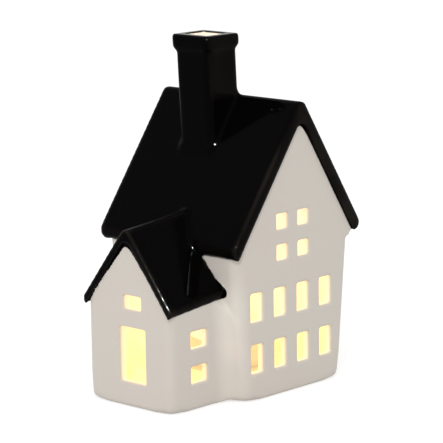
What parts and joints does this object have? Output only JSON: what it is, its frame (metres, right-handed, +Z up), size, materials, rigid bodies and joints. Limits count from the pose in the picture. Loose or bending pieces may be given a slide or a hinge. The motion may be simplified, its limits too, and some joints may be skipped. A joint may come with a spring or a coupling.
{
  "type": "village house",
  "caption": "Glazed ceramic Christmas village house: white walls with cut-out windows and doorway, black roofs, open chimney, lit from inside by a battery light in the floor.",
  "frame": {"origin": "on the table under the middle of the bounding box", "axes": "+Z up, the wing with the doorway comes forward towards -Y, the gable with the rows of windows faces +X"},
  "size_m": [0.0878, 0.1184, 0.1655],
  "materials": {
    "white_glaze": "glossy off-white glaze, warm where the light shines through",
    "black_glaze": "very glossy black glaze",
    "light_plastic": "satin ivory moulded plastic",
    "ring_rubber": "soft milky silicone rubber",
    "board": "green solder mask",
    "steel": "bright plated steel",
    "tinned_wire": "tinned wire",
    "lamp_resin": "clear warm resin",
    "resistor_body": "beige lacquer",
    "contact_brass": "plated spring brass",
    "cell_steel": "bright nickel plated steel",
    "switch_case": "grey moulded plastic",
    "wire_red": "red insulation",
    "knob_black": "black moulded plastic"
  },
  "bodies": {
    "house": {"house_walls": "white_glaze", "main_roof": "black_glaze", "wing_roof": "black_glaze", "chimney": "black_glaze", "light_housing": "light_plastic", "grip_ring": "ring_rubber", "light_cap": "light_plastic", "circuit_board": "board", "board_screws": "steel", "lamp": "lamp_resin", "lamp_leads": "tinned_wire", "resistor": "resistor_body", "resistor_leads": "tinned_wire", "positive_contact": "contact_brass", "negative_contact": "contact_brass", "battery_cell_1": "cell_steel", "battery_cell_2": "cell_steel", "battery_cell_3": "cell_steel", "switch_body": "switch_case", "switch_terminals": "contact_brass", "switch_wires": "wire_red"},
    "switch_knob": {"switch_knob": "knob_black"},
    "battery_cover": {"battery_cover": "light_plastic"},
    "cover_screw": {"cover_screw": "steel"}
  },
  "joints": [
    {"name": "switch_slide", "type": "slide", "parent": "house", "child": "switch_knob", "axis": [-1, 0, 0], "range_m": [0, 0.002]},
    {"name": "cover_slide", "type": "slide", "parent": "house", "child": "battery_cover", "axis": [0, 0, -1], "range_m": [0, 0.02]},
    {"name": "cover_screw_turn", "type": "hinge", "parent": "battery_cover", "child": "cover_screw", "pos_m": [0.0123, 0.0177, 0.003], "axis": [0, 0, 1], "continuous": true}
  ]
}
